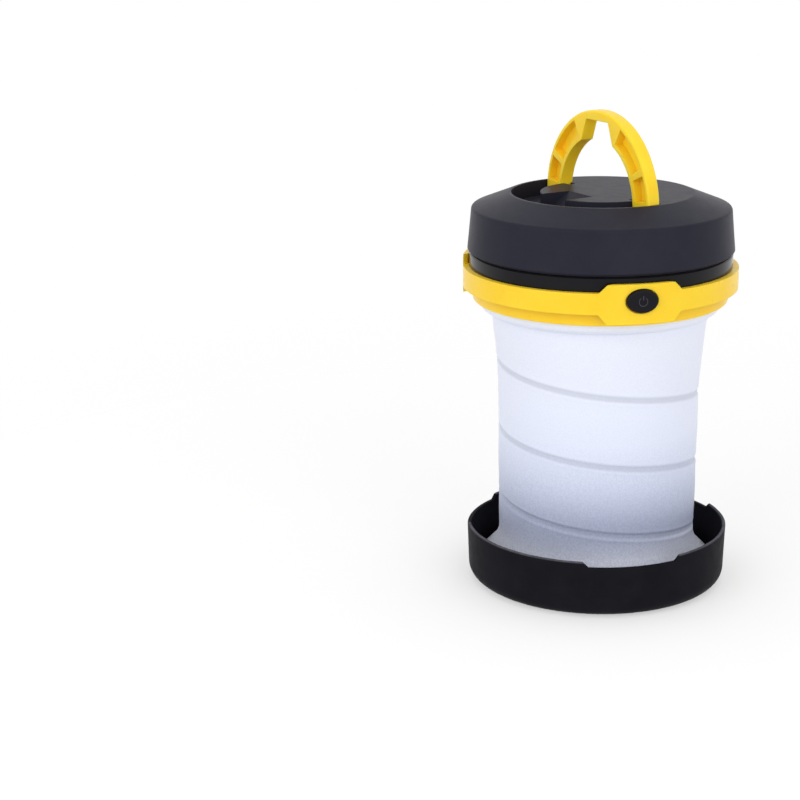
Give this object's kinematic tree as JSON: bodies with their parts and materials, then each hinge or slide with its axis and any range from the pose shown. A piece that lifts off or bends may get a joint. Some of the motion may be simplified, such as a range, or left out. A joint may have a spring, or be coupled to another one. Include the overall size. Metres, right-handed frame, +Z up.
{
  "type": "collapsible camping lantern",
  "caption": "Pop-up camping lantern: soft frosted shade that folds into a black foot cup, yellow band with a push button, black battery head and a fold-flat yellow handle.",
  "frame": {"origin": "centre of the foot's underside, on the table", "axes": "+Z up along the lantern's axis; X along the handle's pivot line; the handle folds towards -Y; the push button is 72 degrees from -Y towards +X"},
  "size_m": [0.0891, 0.089, 0.1561],
  "materials": {
    "black_housing": "satin moulded plastic",
    "black_gloss": "polished moulded plastic",
    "black_foot": "fine matt moulded plastic",
    "yellow_plastic": "glossy moulded plastic",
    "frosted_shade": "soft frosted translucent elastomer",
    "clear_window": "clear polished plastic",
    "grey_gasket": "soft matt",
    "white_plastic": "glossy white",
    "black_button": "satin soft-touch",
    "circuit_board": "solder mask",
    "lamp_board_metal": "white mask on aluminium",
    "lamp_lens": "clear lens over phosphor",
    "screw_steel": "plated",
    "contact_metal": "nickel plated",
    "cell_can": "plain wrapped can",
    "wire_red": "insulation",
    "wire_black": "insulation",
    "switch_case": "moulded"
  },
  "bodies": {
    "base": {"base_cup": "black_foot", "torch_window": "clear_window", "window_seal": "grey_gasket", "shade_clamp": "white_plastic", "clamp_screws": "screw_steel"},
    "head": {"shade": "frosted_shade", "shade_ring": "yellow_plastic", "trim_band": "yellow_plastic", "head_housing": "black_gloss", "reflector": "white_plastic", "led_board": "lamp_board_metal", "led_emitter": "lamp_lens", "led_screws": "screw_steel", "head_screws": "screw_steel", "switch_board": "circuit_board", "tact_switch": "switch_case", "battery_cell_1": "cell_can", "battery_cell_2": "cell_can", "battery_cell_3": "cell_can", "contact_plates": "contact_metal", "contact_springs": "contact_metal", "lead_red": "wire_red", "lead_black": "wire_black", "switch_leads": "wire_black"},
    "button": {"button": "black_button"},
    "seal": {"cap_seal": "grey_gasket"},
    "cap": {"top_cap": "black_housing"},
    "handle": {"handle": "yellow_plastic"}
  },
  "joints": [
    {"name": "collapse", "type": "slide", "parent": "base", "child": "head", "axis": [0, 0, 1], "range_m": [-0.085, 0], "deforming": ["shade"]},
    {"name": "button_press", "type": "slide", "parent": "head", "child": "button", "axis": [-0.9511, 0.309, 0], "range_m": [0, 0.0006], "stiffness_N_per_m": 1000},
    {"name": "cap_lift", "type": "slide", "parent": "head", "child": "seal", "axis": [0, 0, 1], "range_m": [0, 0.04]},
    {"name": "cap_turn", "type": "hinge", "parent": "seal", "child": "cap", "pos_m": [0, 0, 0.1112], "axis": [0, 0, 1], "range_deg": [0, 90]},
    {"name": "handle_fold", "type": "hinge", "parent": "cap", "child": "handle", "pos_m": [0, 0, 0.1275], "axis": [1, 0, 0], "range_deg": [0, 90]}
  ]
}
